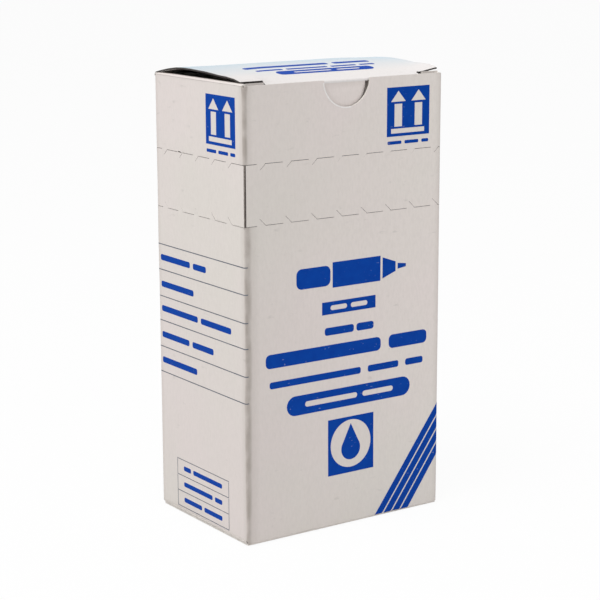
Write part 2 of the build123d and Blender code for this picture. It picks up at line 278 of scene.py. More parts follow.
def flat_mesh(outlines, u_lines, v_lines, whole):
    """Outlines filled in the flat, inner ones as holes, and divided along the lines."""
    bm = bmesh.new()
    for outline in outlines:
        corners = [bm.verts.new((u, v, 0)) for u, v in outline]
        for index, corner in enumerate(corners):
            bm.edges.new((corners[index - 1], corner))
    bmesh.ops.triangle_fill(bm, edges=bm.edges[:], use_beauty=True, normal=(0, 0, 1))
    for axis, lines in enumerate((u_lines, v_lines)):
        across = Vector((1 - axis, axis, 0))
        reach = [vert.co[axis] for vert in bm.verts]
        for line in lines:
            if min(reach) < line < max(reach):
                bmesh.ops.bisect_plane(bm, geom=bm.verts[:] + bm.edges[:] + bm.faces[:], dist=cut_slack,
                                       plane_co=across * line, plane_no=across)
    if whole:
        slanted = []
        for edge in bm.edges:
            span = edge.verts[0].co - edge.verts[1].co
            if len(edge.link_faces) == 2 and min(abs(span.x), abs(span.y)) > least_slant:
                slanted.append(edge)
        bmesh.ops.dissolve_edges(bm, edges=slanted, use_verts=False)
        spare = [vert for vert in bm.verts if len(vert.link_edges) == 2 and not vert.is_boundary]
        bmesh.ops.dissolve_verts(bm, verts=spare)
    bm.normal_update()
    bmesh.ops.reverse_faces(bm, faces=[face for face in bm.faces if face.normal.z < 0])
    bm.verts.index_update()
    return bm


def board_piece(name, body, shapes, place, u_lines, v_lines, depths, materials, crease=None, whole=True):
    """A piece of folded board or print: shapes drawn in the flat, put in space at two depths."""
    shell = bmesh.new()
    wear = shell.verts.layers.float.new("crease")
    for outlines in shapes:
        flat = flat_mesh(outlines, u_lines, v_lines, whole)
        spots = [vert.co.xy for vert in flat.verts]
        layers = [[shell.verts.new(place(u, v, depth) / 1000) for u, v in spots] for depth in depths]
        for layer in layers:
            for vert, (u, v) in zip(layer, spots):
                vert[wear] = crease(u, v) if crease else far_from_fold
        for face in flat.faces:
            ring = [vert.index for vert in face.verts]
            shell.faces.new([layers[0][index] for index in ring])
            shell.faces.new([layers[1][index] for index in reversed(ring)]).material_index = 1
        for edge in flat.edges:
            if edge.is_boundary:
                loop = edge.link_loops[0]
                first, second = loop.vert.index, loop.link_loop_next.vert.index
                rim = (layers[0][second], layers[0][first], layers[1][first], layers[1][second])
                shell.faces.new(rim).material_index = 2
        flat.free()
    bmesh.ops.remove_doubles(shell, verts=shell.verts[:], dist=weld / 1000)
    bmesh.ops.dissolve_degenerate(shell, edges=shell.edges[:], dist=weld / 1000)
    shell.normal_update()
    for face in shell.faces:
        face.smooth = True
    for edge in shell.edges:
        if len(edge.link_faces) != 2 or edge.calc_face_angle() > sharp_turn:
            edge.smooth = False
    mesh = bpy.data.meshes.new(name)
    shell.to_mesh(mesh)
    shell.free()
    for look in materials:
        mesh.materials.append(look)
    piece = bpy.data.objects.new(name, mesh)
    bpy.context.scene.collection.objects.link(piece)
    if body:
        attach(piece, body)
    return piece


# Materials.
# Painted shade: the coat greys towards the bottom and the left side of the carton.
bottom_shade_grey = (0.40, 0.37, 0.35)
fibre_grey = (0.55, 0.51, 0.47)
scuff_grey = (0.50, 0.47, 0.44)
# Grey of fold wear, also used as painted shade beside the tray's front left fold.
fold_wear_and_shade_grey = (0.43, 0.385, 0.35)
rubbed_grey = (0.55, 0.57, 0.62)


def material(name, roughness):
    made = bpy.data.materials.new(name)
    made.use_nodes = True
    shader = made.node_tree.nodes["Principled BSDF"]
    shader.inputs["Roughness"].default_value = roughness
    return made, made.node_tree, shader


def speckle(tree, scale, detail=2.0, stretch=(1, 1, 1)):
    """Noise in the object's own space."""
    coords = tree.nodes.new("ShaderNodeTexCoord")
    mapping = tree.nodes.new("ShaderNodeMapping")
    mapping.inputs["Scale"].default_value = stretch
    texture = tree.nodes.new("ShaderNodeTexNoise")
    texture.inputs["Scale"].default_value = scale
    texture.inputs["Detail"].default_value = detail
    tree.links.new(coords.outputs["Object"], mapping.inputs["Vector"])
    tree.links.new(mapping.outputs["Vector"], texture.inputs["Vector"])
    return texture.outputs["Fac"]


def spread(tree, value, low, high, out_low=0.0, out_high=1.0):
    node = tree.nodes.new("ShaderNodeMapRange")
    for socket, number in zip(("From Min", "From Max", "To Min", "To Max"), (low, high, out_low, out_high)):
        node.inputs[socket].default_value = number
    tree.links.new(value, node.inputs["Value"])
    return node.outputs["Result"]


def combine(tree, operation, first, second):
    node = tree.nodes.new("ShaderNodeMath")
    node.operation = operation
    for socket, value in zip(node.inputs, (first, second)):
        if isinstance(value, float):
            socket.default_value = value
        else:
            tree.links.new(value, socket)
    return node.outputs["Value"]


def tint(tree, share, below, above):
    """One colour where the share is 0 and another where it is 1."""
    node = tree.nodes.new("ShaderNodeMix")
    node.data_type = "RGBA"
    tree.links.new(share, node.inputs[0])
    for socket, colour in ((node.inputs[6], below), (node.inputs[7], above)):
        if isinstance(colour, tuple):
            socket.default_value = (*colour, 1)
        else:
            tree.links.new(colour, socket)
    return node.outputs[2]


def emboss(tree, shader, height, strength, distance):
    node = tree.nodes.new("ShaderNodeBump")
    node.inputs["Strength"].default_value = strength
    node.inputs["Distance"].default_value = distance
    tree.links.new(height, node.inputs["Height"])
    tree.links.new(node.outputs["Normal"], shader.inputs["Normal"])


def board_coat(name, pale, dull, rear=None):
    """White clay-coated board: cloudy, fibrous, scuffed and worn grey along its folds, with painted shade darkening it
    towards the bottom and the left, and, where a rear colour is given, a painted reflection tinting it towards the
    rear.
    """
    made, tree, shader = material(name, 0.45)
    shader.inputs["Specular IOR Level"].default_value = 0.25
    cloud = spread(tree, speckle(tree, scale=20.0, detail=3.0), 0.36, 0.64)
    colour = tint(tree, cloud, pale, dull)
    coords = tree.nodes.new("ShaderNodeTexCoord")
    parts = tree.nodes.new("ShaderNodeSeparateXYZ")
    tree.links.new(coords.outputs["Object"], parts.inputs["Vector"])
    # Painted reflection: the coat turns blue towards the rear, as if it mirrored a blue surround.
    if rear:
        colour = tint(tree, spread(tree, parts.outputs["Y"], -0.018, 0.008), colour, rear)
    # Painted shade: darker towards the bottom and towards the left side, where less light falls.
    bottom_shade = combine(tree, "ADD", spread(tree, parts.outputs["Z"], 0.0, 0.085, 0.09, 0.0),
                    spread(tree, parts.outputs["X"], -half_width / 1000, half_width / 1000, 0.20, 0.0))
    colour = tint(tree, bottom_shade, colour, bottom_shade_grey)
    fibre = spread(tree, speckle(tree, scale=1500.0, stretch=(1, 1, 0.4)), 0.35, 0.75)
    colour = tint(tree, combine(tree, "MULTIPLY", fibre, 0.16), colour, fibre_grey)
    scuff = spread(tree, speckle(tree, scale=170.0, detail=6.0, stretch=(1, 1, 2.5)), 0.66, 0.76, 0.0, 0.4)
    colour = tint(tree, scuff, colour, scuff_grey)
    # A grey band of wear along each fold; on the tray's front left fold it also spreads onto the front face as painted
    # shade.
    fold = tree.nodes.new("ShaderNodeAttribute")
    fold.attribute_name = "crease"
    band = spread(tree, fold.outputs["Fac"], 0.6, 1.6, 1.0, 0.0)
    broken = spread(tree, speckle(tree, scale=300.0, detail=5.0, stretch=(1, 1, 0.5)), 0.30, 0.60, 0.50, 1.0)
    near = spread(tree, fold.outputs["Fac"], 1.0, 3.4, 0.28, 0.0)
    worn = combine(tree, "MAXIMUM", combine(tree, "MULTIPLY", band, broken), near)
    colour = tint(tree, worn, colour, fold_wear_and_shade_grey)
    tree.links.new(colour, shader.inputs["Base Color"])
    tree.links.new(spread(tree, cloud, 0.0, 1.0, 0.40, 0.52), shader.inputs["Roughness"])
    height = combine(tree, "ADD", fibre, combine(tree, "MULTIPLY", worn, -1.5))
    emboss(tree, shader, height, strength=0.2, distance=0.00005)
    return made


def raw_board(name, pale, dark, scale, stretch):
    """Uncoated board: grey pulp with long fibres."""
    made, tree, shader = material(name, 0.85)
    pulp = spread(tree, speckle(tree, scale, detail=5.0, stretch=stretch), 0.34, 0.66)
    tree.links.new(tint(tree, pulp, pale, dark), shader.inputs["Base Color"])
    emboss(tree, shader, pulp, strength=0.3, distance=0.00005)
    return made


def ink(name, solid, thin):
    """Offset ink on the coat: a little mottled, with rubbed specks."""
    made, tree, shader = material(name, 0.55)
    shader.inputs["Specular IOR Level"].default_value = 0.05
    mottle = spread(tree, speckle(tree, scale=320.0, detail=4.0), 0.35, 0.70)
    colour = tint(tree, mottle, solid, thin)
    rubbed = spread(tree, speckle(tree, scale=700.0, detail=6.0, stretch=(1, 1, 2)), 0.68, 0.76, 0.0, 0.35)
    colour = tint(tree, rubbed, colour, rubbed_grey)
    tree.links.new(colour, shader.inputs["Base Color"])
    tree.links.new(spread(tree, mottle, 0.0, 1.0, 0.50, 0.62), shader.inputs["Roughness"])
    emboss(tree, shader, mottle, strength=0.08, distance=0.00003)
    return made


def moulded(name, pale, dark, roughness, grain, strength):
    """Moulded plastic with a fine spark-eroded grain and faint flow marks."""
    made, tree, shader = material(name, roughness)
    flow = spread(tree, speckle(tree, scale=60.0, detail=3.0, stretch=(1, 1, 0.2)), 0.35, 0.65)
    tree.links.new(tint(tree, flow, pale, dark), shader.inputs["Base Color"])
    fine = speckle(tree, scale=grain)
    tree.links.new(spread(tree, fine, 0.3, 0.7, roughness - 0.05, roughness + 0.08), shader.inputs["Roughness"])
    emboss(tree, shader, fine, strength, distance=0.00003)
    return made


def turned_metal(name, pale, dark, roughness):
    """Bright metal with fine rings left by turning."""
    made, tree, shader = material(name, roughness)
    shader.inputs["Metallic"].default_value = 1.0
    rings = spread(tree, speckle(tree, scale=900.0, stretch=(0.05, 0.05, 3)), 0.3, 0.7)
    tree.links.new(tint(tree, rings, pale, dark), shader.inputs["Base Color"])
    tree.links.new(spread(tree, rings, 0.0, 1.0, roughness - 0.06, roughness + 0.08), shader.inputs["Roughness"])
    emboss(tree, shader, rings, strength=0.1, distance=0.00002)
    return made


coat = board_coat("coated_board", (0.850, 0.771, 0.743), (0.823, 0.774, 0.724))
# The lid's copy of the coat is cooler than the walls' and blue at the rear: painted reflection of cool light from
# above.
reflecting_lid_coat = board_coat("coated_lid_painted_reflection", (0.795, 0.763, 0.752), (0.780, 0.750, 0.738), (0.46, 0.61, 0.71))
cut_edge = raw_board("board_cut_edge", (0.72, 0.68, 0.64), (0.58, 0.54, 0.50), 1800.0, (1, 1, 1))
# Painted shade: the lid's cut edges are near black, as if always in shadow.
shaded_lid_edge = raw_board("lid_edge_painted_shade", (0.06, 0.05, 0.047), (0.035, 0.03, 0.027), 1500.0, (1, 1, 1))
# Painted shade: the tear strip's cut edges are dark brown, darkening the gap at its cut end and the slits.
shaded_strip_edge = raw_board("strip_edge_painted_shade", (0.26, 0.225, 0.20), (0.17, 0.145, 0.13), 1500.0, (1, 1, 1))
# Painted highlight: a colour paler than the coat, for the notch's rim.
notch_highlight_look = raw_board("notch_rim_highlight", (0.92, 0.89, 0.87), (0.84, 0.81, 0.79), 1500.0, (1, 1, 1))
inside = raw_board("board_inside", (0.60, 0.58, 0.55), (0.52, 0.49, 0.46), 900.0, (1, 1, 0.3))
blue = ink("blue_ink", (0.001, 0.050, 0.345), (0.002, 0.060, 0.380))
grey = ink("rule_ink", (0.10, 0.115, 0.15), (0.16, 0.175, 0.21))
board_set = (coat, inside, cut_edge)
lid_set = (reflecting_lid_coat, inside, shaded_lid_edge)
strip_set = (coat, inside, shaded_strip_edge)

# The walls: one path in plan, from the glue flap round to the seam at the rear right corner.
seam_start = (seam_face, flap_corner.y)
seam_corner = (seam_face, half_depth)
rear_left = (-half_width, half_depth)
front_left = (-half_width, -half_depth)
front_right = (half_width, -half_depth)
rear_right = (half_width, half_depth)
wall = Fold([seam_start, seam_corner, rear_left, front_left, front_right, rear_right], fold_radius)
rear_band = Fold([seam_start, seam_corner, rear_left, (-half_width, -half_depth + hair_gap)], fold_radius)
front_band = Fold([(-half_width + board + strip_gap, -half_depth), front_right, rear_right], fold_radius)
runs = ("flap", "back", "left", "front", "right")
widths = {"back": 2 * half_width, "left": 2 * half_depth, "front": 2 * half_width, "right": 2 * half_depth}


def buckle(spot):
    """How far the board dents inward, at most twice the mean depth."""
    return buckle_depth * (1 + noise.noise(Vector(spot) / buckle_span))


def foot_gap(point):
    """How far the battered fold at the foot stands off the floor."""
    return foot_wear * max(0, noise.noise(Vector((point.x, point.y, 0)) / foot_span))


def wall_place(fold, levels=True):
    def place(u, v, depth):
        point, outward = fold.at(u)
        depth = depth + buckle((point.x, point.y, v))
        floor = foot_of(u) + foot_gap(point) if levels else -foot_radius
        bend = floor + foot_radius - v
        if bend <= 0:
            spot = point - outward * depth
            return Vector((spot.x, spot.y, v))
        turn = bend / foot_radius
        reach = foot_radius - depth
        spot = point - outward * (foot_radius - reach * cos(turn))
        return Vector((spot.x, spot.y, floor + foot_radius - reach * sin(turn)))
    return place


def foot_of(u):
    """The level of the fold at the foot of the wall."""
    for name, (begin, length, start, ahead, radius) in zip(runs, wall.stretches[::2]):
        if u <= begin + length + fold_radius * pi / 4:
            return foot_levels[name]
    return foot_levels["right"]


def tear_starts(side):
    """Where the slits of one face begin, from its middle."""
    count = int(widths[side] / tear_pitch)
    first = tear_shift.get(side, 0) - (count - 1) / 2 * tear_pitch
    if first + count * tear_pitch < widths[side] / 2:
        count += 1
    return [first + index * tear_pitch for index in range(count)]


def slit_spans():
    """The slits of one tear line along the wall. They run on round the corners."""
    spans = []
    begin = wall.stretches[1][0]
    for run, side in list(enumerate(runs))[1:]:
        starts = [wall.centre(run) + start for start in tear_starts(side)]
        spans.append((begin, starts[0] - tear_pitch + slit_length))
        spans += [(start, start + slit_length) for start in starts[:-1]]
        begin = starts[-1]
    spans.append((begin, wall.length))
    return spans


def tails(fold, sides, shut):
    """Where the slanted tails of the slits begin along one edge of the strip, and which of them are pressed shut."""
    found = []
    for run, side in sides:
        for index, start in enumerate(tear_starts(side)):
            found.append((fold.centre(run) + start, index in shut.get(side, ())))
    return found


def slit(begin, end, level, rise):
    """The corners of one slit, cut up or down from the tear line."""
    return [(begin, level), (begin, level + rise), (end, level + rise), (end, level)]


# The tray stands below the strip, the hood above it.
foot_line = []
for name, (begin, length, start, ahead, radius) in zip(runs, wall.stretches[::2]):
    level = foot_levels[name] + foot_radius * (1 - pi / 4)
    foot_line += [(begin, level), (begin + length, level)]
tray_top = []
hood_foot = []
torn_end = wall.centre(runs.index(torn_slit[0])) + tear_starts(torn_slit[0])[torn_slit[1]]
torn_begin = torn_end - tear_pitch + slit_length
for begin, end in slit_spans():
    if abs(begin - torn_end) < slit_height:
        hood_foot += [(torn_begin + torn_inset, tear_high), (torn_begin + torn_steep, tear_high + torn_height),
                      (torn_end - torn_slack, tear_high + torn_height / 2), (torn_end - torn_inset, tear_high)]
    tray_top += slit(begin, end, tear_low, -slit_height)
    hood_foot += slit(begin, end, tear_high, slit_height)
tray_top = [(0, tear_low)] + tray_top[:-1] + [(wall.length, tear_low - slit_height)]
hood_foot = [(0, tear_high)] + hood_foot[:-1] + [(wall.length, tear_high + slit_height)]

notch_radius = (notch_half ** 2 + notch_depth ** 2) / (2 * notch_depth)
notch_centre = front_top - notch_depth + notch_radius
hood_tops = {"flap": side_top, "back": back_top, "left": side_top, "front": front_top, "right": side_top}
hood_top = []
front_middle = wall.centre(runs.index("front"))
left_middle = wall.centre(runs.index("left"))
for name, (begin, length, start, ahead, radius) in zip(runs, wall.stretches[::2]):
    if name == "front":
        middle = begin - fold_radius * pi / 4
        hood_top += [(middle - nick_half, front_top), (middle, front_top - nick_depth), (middle + nick_half, front_top)]
    if name == "right":
        hood_top += [(begin, side_top - corner_slump), (begin + slump_length / 2, side_top - corner_slump / 2)]
        begin, length = begin + slump_length, length - slump_length
    hood_top.append((begin, hood_tops[name]))
    if name == "front":
        for step in range(notch_steps + 1):
            across = notch_half * sin(pi * (step / notch_steps - 0.5))
            level = notch_centre - sqrt(notch_radius ** 2 - across ** 2)
            hood_top.append((front_middle + notch_middle + across, level))
    hood_top.append((begin + length, hood_tops[name]))


def ease(value):
    value = min(max(value, 0.0), 1.0)
    return value * value * (3 - 2 * value)


front_left_fold = 2


def wall_crease(u, v):
    """The distance to a fold. The front left one is worn most, at its top above all; below the tear strip its dark band
    reaches wider onto the front face, painted shade where that face turns into the fold.
    """
    shift = wear_shift
    lean = hood_lean
    if v < tear_low:
        shift += tray_shift * ease((v - shift_from) / shift_run)
        lean = tray_shade_lean
    relief = foot_relief * ease(1 - v / relief_height)
    wear = top_wear * ease((v - front_top + top_reach) / top_run)
    return wall.crease(u, front_left_fold, shift, lean) + relief - wear


wall_lines = wall.lines()
bend_lines = set()
for name in ("front", "back", "left"):
    for step in range(foot_steps):
        bend_lines.add(round(foot_levels[name] + foot_radius * (1 - step * pi / (4 * foot_steps)), 4))
tray_lines = sorted(bend_lines) + [grid + grid * 2 * step for step in range(tray_rows)]
tray = board_piece("tray_sheet", "tray", [[foot_line + tray_top[::-1]]], wall_place(wall), wall_lines, tray_lines,
                   (0, board), board_set, wall_crease)
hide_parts("tray_front_panel", "tray_right_panel", "tray_back_panel", "tray_left_panel", "tray_glue_flap")
hood_lines = [tear_high + grid * step for step in range(1, hood_rows + 1)]
hood = board_piece("hood_sheet", "hood", [[hood_foot + hood_top[::-1]]], wall_place(wall, False), wall_lines,
                   hood_lines, (0, board), board_set, wall_crease)
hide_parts("hood_front_panel", "hood_right_panel", "hood_back_panel", "hood_left_panel", "hood_glue_flap")


def band_shape(fold, sides):
    """A length of the tear strip with the tails of the slits cut into both edges."""
    lower = [(0, tear_low)]
    upper = [(0, tear_high)]
    for edge, level, (run, rise), shut_tails in ((lower, tear_low, low_tail, shut_low_tails),
                                                 (upper, tear_high, high_tail, shut_high_tails)):
        for start, shut in tails(fold, sides, shut_tails):
            width = shut_width if shut else slit_height
            tip = (start - run, level + rise)
            edge += [(start, level), tip, (tip[0] + width, tip[1]), (start + width, level)]
    lower.append((fold.length, tear_low))
    upper.append((fold.length, tear_high))
    return lower + upper[::-1]


strip_lines = [tear_low + grid * step for step in range(1, strip_rows + 1)]
rear_strip = board_piece("strip_rear_sheet", "tear_strip", [[band_shape(rear_band, ((1, "back"), (2, "left")))]],
                         wall_place(rear_band, False), rear_band.lines(), strip_lines, (0, board), strip_set,
                         lambda u, v: rear_band.crease(u))
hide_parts("tear_strip_back", "tear_strip_left", "tear_strip_glue_flap")
front_strip = board_piece("strip_front_sheet", "tear_strip", [[band_shape(front_band, ((0, "front"), (1, "right")))]],
                          wall_place(front_band, False), front_band.lines(), strip_lines, (0, board), strip_set,
                          lambda u, v: front_band.crease(u))
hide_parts("tear_strip_front", "tear_strip_right")

# The lid: bowed up between its rear crease and the crease of the tuck flap, with a free ear at each lock slit.
lid_front = tuck_corner.y + lid_inset
lid_half = lid_end.x
lid_level = front_top - lid_drop
lid_lip = lid_level - lid_crease[1] - lip_height
lid_path = [(half_depth, back_top), (half_depth, lid_level), (lid_front, lid_level), (lid_front, lid_lip)]
lid_fold = Fold(lid_path, *lid_crease)
bow_begin, bow_length, bow_start = lid_fold.stretches[2][:3]
bow_end = bow_begin + bow_length
bow_middle = bow_start.x - bow_length / 2
bow_rise = lid_rise + lid_drop
bow_radius = ((bow_length / 2) ** 2 + bow_rise ** 2) / (2 * bow_rise)
ear_end = bow_end - ear_setback
lock_root = lid_half - lock_length


def lid_place(u, v, depth):
    point, outward = lid_fold.at(u)
    side = abs(v)
    lift = 0.0
    if bow_begin < u < bow_end:
        lift = sqrt(bow_radius ** 2 - (point.x - bow_middle) ** 2) - bow_radius + bow_rise
    edge_share = ease(side / lid_half * 2 - 1)
    lift *= 1 - (left_sag_share if v < 0 else right_sag_share) * edge_share
    if v < 0:
        lift += corner_lift * edge_share * ease((point.x + corner_from) / corner_run) * min(1, u / bow_begin)
    curl = ease((side - lock_root + ear_lead) / ear_run)
    if v > 0:
        curl = (ear_share * curl + ease((side - lock_root) / lock_length)) / (1 + ear_share)
    if side < lock_root + root_slack:
        curl *= ease((bow_end - u) / ear_fade)
    if u < bow_end:
        lift += (right_ear_lift if v > 0 else left_ear_lift) * curl * ease((-ear_from - point.x) / ear_bend)
    across = min(v + lid_skew * ease(u / lid_fold.length), half_width)
    return Vector((across, point.x - outward.x * depth, point.y - outward.y * depth + lift))


slit_end = ear_end - slit_relief / 2
ear_side = [(ear_end, lid_half), (ear_end, lock_root + slit_relief), (slit_end, lock_root + slit_relief / 2),
            (slit_end, lock_root), (lid_fold.length, lock_root)]
lid_shape = [(0, -lid_half)] + [(u, -v) for u, v in ear_side] + ear_side[::-1] + [(0, lid_half)]
lid_columns = [-lid_half + step * 2 * lid_half / lid_parts for step in range(1, lid_parts)]
lid_columns += [sign * (lock_root + reach) for sign in (-1, 1) for reach in ear_columns]
lid_columns.sort()
lid = board_piece("lid_sheet", "lid", [[lid_shape]], lid_place, lid_fold.lines(), lid_columns, (0, board), lid_set)
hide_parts("lid_panel")

# The tuck flap hangs behind the front panel and presses against it at its foot.
tuck_start = Vector((lid_front, lid_lip))
tuck_ahead = Vector((sin(tuck_tilt), -cos(tuck_tilt)))
tuck_length = (tuck_start.y - tuck_corner.z) / cos(tuck_tilt) - board * abs(tan(tuck_tilt))
tuck_fold = Fold([tuck_start, tuck_start + tuck_ahead * tuck_length], crease_radius)
tuck_half = tuck_end.x


def tuck_place(u, v, depth):
    point, outward = tuck_fold.at(u)
    rim = notch_middle + sqrt(max(notch_half ** 2 - u ** 2, 0))
    dent = tuck_bend * ease((v + lid_skew - rim + rim_reach) / dent_run) * ease((dent_end - v) / dent_fade)
    depth += dent * ease(1 - u / dent_height)
    return Vector((v + lid_skew, point.x - outward.x * depth, point.y - outward.y * depth))


def rounded(corner, first, second, radius, steps=6):
    """The points of a round between two directions at a corner."""
    centre = Vector(corner) + (Vector(first) + Vector(second)) * radius
    found = []
    for step in range(steps + 1):
        turn = step * pi / 2 / steps
        found.append(tuple(centre - Vector(second) * radius * cos(turn) - Vector(first) * radius * sin(turn)))
    return found


tuck_root = lock_root + lock_gap
lock_shoulder = tuck_start.y - front_top - lock_rise
tuck_shape = [(0, -tuck_root), (lock_shoulder, -tuck_root), (lock_shoulder, -tuck_half)]
tuck_shape += rounded((tuck_length, -tuck_half), (-1, 0), (0, 1), tuck_round)
tuck_shape += rounded((tuck_length, tuck_half), (0, -1), (-1, 0), tuck_round)
tuck_shape += [(lock_shoulder, tuck_half), (lock_shoulder, tuck_root), (0, tuck_root)]
tuck_lines = [grid / 4 * step for step in range(tuck_rows + 1)]
tuck = board_piece("tuck_sheet", "tuck_flap", [[tuck_shape]], tuck_place, tuck_lines, tuck_columns, (0, board),
                   board_set, lambda u, v: u + tuck_wear if abs(v) < tuck_root else far_from_fold)
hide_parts("tuck_flap")

# The bent board inside the crease, which joins the lid to the tuck flap.
crease_start = lid_fold.length


def crease_place(u, v, depth):
    if u < crease_start:
        return lid_place(u, v, depth)
    return tuck_place(u - crease_start, v, depth)


crease_half = lock_root - crease_inset
crease_shape = block(crease_start - crease_reach, -crease_half, crease_start + crease_reach, crease_half)
crease_lines = lid_fold.lines() + [crease_start + cut for cut in crease_cuts]
hinge_strip = board_piece("tuck_crease", None, [[crease_shape]], crease_place, crease_lines, tuck_columns,
                          [board + reach for reach in crease_faces], (inside,) * 3)
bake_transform(hinge_strip)

# The dust flaps fold in from the side walls, under the lid.
dust_inner = -dust_end.x
dust_path = [(half_width, side_top + hair_gap), (half_width, dust_end.z), (dust_inner, dust_end.z)]
dust_fold = Fold(dust_path, crease_radius)
dust_span = dust_fold.length
dust_rear = dust_end.y
dust_tip = dust_rear - dust_span * tan(dust_slant)
lip = crease_radius * pi / 2 + dust_lip
crease_end = half_depth - fold_radius + dust_overlap
left_shape = [(0, -crease_end), (lip, -crease_end), (lip, dust_corner.y)]
left_shape += rounded((dust_span, dust_corner.y), (-1, 0), (0, 1), dust_round)
left_shape += [(dust_span, dust_tip), (lip, dust_rear), (lip, crease_end), (0, crease_end)]
right_shape = [(u, -v) for u, v in left_shape[::-1]]


def dust_place(side):
    def place(u, v, depth):
        point, outward = dust_fold.at(u)
        dip = dust_dip * ease((u - lip) / dip_run)
        if side > 0:
            dip += corner_slump * min(max(0, 1 - (half_depth - v - fold_radius) / slump_length), 1)
        return Vector((side * (point.x - outward.x * depth), -side * v, point.y - outward.y * depth - dip))
    return place


for name, side, shape in (("left", -1, left_shape), ("right", 1, right_shape)):
    flap = board_piece(f"dust_{name}_sheet", f"dust_flap_{name}", [[shape]], dust_place(side), dust_fold.lines(),
                       dust_columns, (0, board), board_set)
    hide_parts(f"dust_flap_{name}")


# Print. Shapes are drawn on a face, seen from outside, from the face's middle and the floor up.
arrow_shares = (0.265, 0.74)
arrow_margin = 1.1
head_half = 2.8
head_height = 3.3
shaft_half = 1.45
shaft_low = 2.95
shaft_drop = 3.95
foot_bar = (1.6, 0.9, -1.9, 2.35)
bar_round = 0.7
round_steps = 5
disc_steps = 48
film = (-ink_rise, board / 4)


def pill(left, low, right, high, round_share=1.0):
    radius = round_share * min(right - left, high - low) / 2
    found = []
    for x, z, turn in ((right - radius, low + radius, -90), (right - radius, high - radius, 0),
                       (left + radius, high - radius, 90), (left + radius, low + radius, 180)):
        for step in range(round_steps + 1):
            angle = radians(turn + 90 * step / round_steps)
            spot = (round(x + radius * cos(angle), 3), round(z + radius * sin(angle), 3))
            if spot not in found:
                found.append(spot)
    return found


def disc(x, z, radius):
    turns = [2 * pi * step / disc_steps for step in range(disc_steps)]
    return [(x + radius * cos(turn), z + radius * sin(turn)) for turn in turns]


def bars(left, low, right, high, shares, gap=1.0):
    """A row of rounded bars, in the place of a line of words."""
    room = right - left - gap * (len(shares) - 1)
    found = []
    for share in shares:
        width = room * share / sum(shares)
        found.append([pill(left, low, left + width, high, bar_round)])
        left += width + gap
    return found


def arrow_box(left, low, right, high):
    """A filled box with two bare arrows that point up from a bar."""
    holes = []
    top = high - arrow_margin
    for share in arrow_shares:
        middle = left + share * (right - left)
        holes.append([(middle - head_half, top - head_height), (middle + head_half, top - head_height), (middle, top)])
        holes.append(block(middle - shaft_half, low + shaft_low, middle + shaft_half, top - shaft_drop))
    holes.append(block(left + foot_bar[0], low + foot_bar[1], right + foot_bar[2], low + foot_bar[3]))
    return [block(left, low, right, high)] + holes


def moved(shapes, along):
    return [[[(x + along, z) for x, z in outline] for outline in shape] for shape in shapes]


def printed(name, body, shapes, place, u_lines, v_lines, look):
    """A film of ink on the outer face of the board; the notch's painted highlight is drawn with it too."""
    board_piece(name, body, shapes, place, u_lines, v_lines, film, (look,) * 3, whole=False)


front_print = [
    [block(-8.7, 67.5, 11.4, 71.4), pill(-5.6, 68.7, 0.6, 70.2), pill(2.0, 68.7, 8.3, 70.2)],
    *bars(-7.7, 61.0, 10.7, 63.4, (5, 3)),
    *bars(-29.1, 53.7, 31.4, 58.0, (43, 15), 3.1),
    *bars(-27.8, 47.4, 30.0, 49.5, (34, 12, 7), 2.7),
    [pill(-21.7, 37.8, 25.0, 43.9), pill(-15.0, 40.0, 4.5, 41.7), pill(6.5, 40.0, 18.3, 41.7)],
]
# A lying pen: cap, barrel, shoulder and tip.
pen_low, pen_high, pen_middle = 75.6, 83.4, 79.5
front_print += [
    [pill(-18.0, pen_low + 0.8, -5.6, pen_high - 0.8, 0.6)],
    [block(-4.8, pen_low, 13.2, pen_high)],
    [[(14.0, pen_low + 0.6), (19.0, pen_middle - 1.5), (19.0, pen_middle + 1.5), (14.0, pen_high - 0.6)]],
    [[(19.8, pen_middle - 0.9), (23.0, pen_middle - 0.5), (23.0, pen_middle + 0.5), (19.8, pen_middle + 0.9)]],
]
# A box with a bare disc and a drop in it.
drop = []
drop_x, drop_z, drop_tip, drop_radius = 2.1, 24.1, 32.1, 3.6
drop_start, drop_turn, drop_steps = -215, 250, 24
for step in range(drop_steps + 1):
    angle = radians(drop_start + drop_turn * step / drop_steps)
    drop.append((drop_x + drop_radius * cos(angle), drop_z + drop_radius * sin(angle)))
drop.append((drop_x, drop_tip))
front_print += [[block(-6.5, 16.4, 10.8, 34.3), disc(drop_x, 25.7, 7.6)], [drop]]
# Slanted stripes across the lower right corner.
stripe_count, stripe_foot, stripe_end = 4, 0.4, half_width - 0.2
stripe_low, stripe_low_pitch, stripe_run = 11.5, 3.4, 2.8
stripe_high, stripe_high_pitch, stripe_rise = 33.5, 4.4, 3.6
for step in range(stripe_count):
    low = stripe_low + stripe_low_pitch * step
    high = stripe_high - stripe_high_pitch * step
    front_print.append([[(low, stripe_foot), (low + stripe_run, stripe_foot), (stripe_end, high - stripe_rise),
                         (stripe_end, high)]])

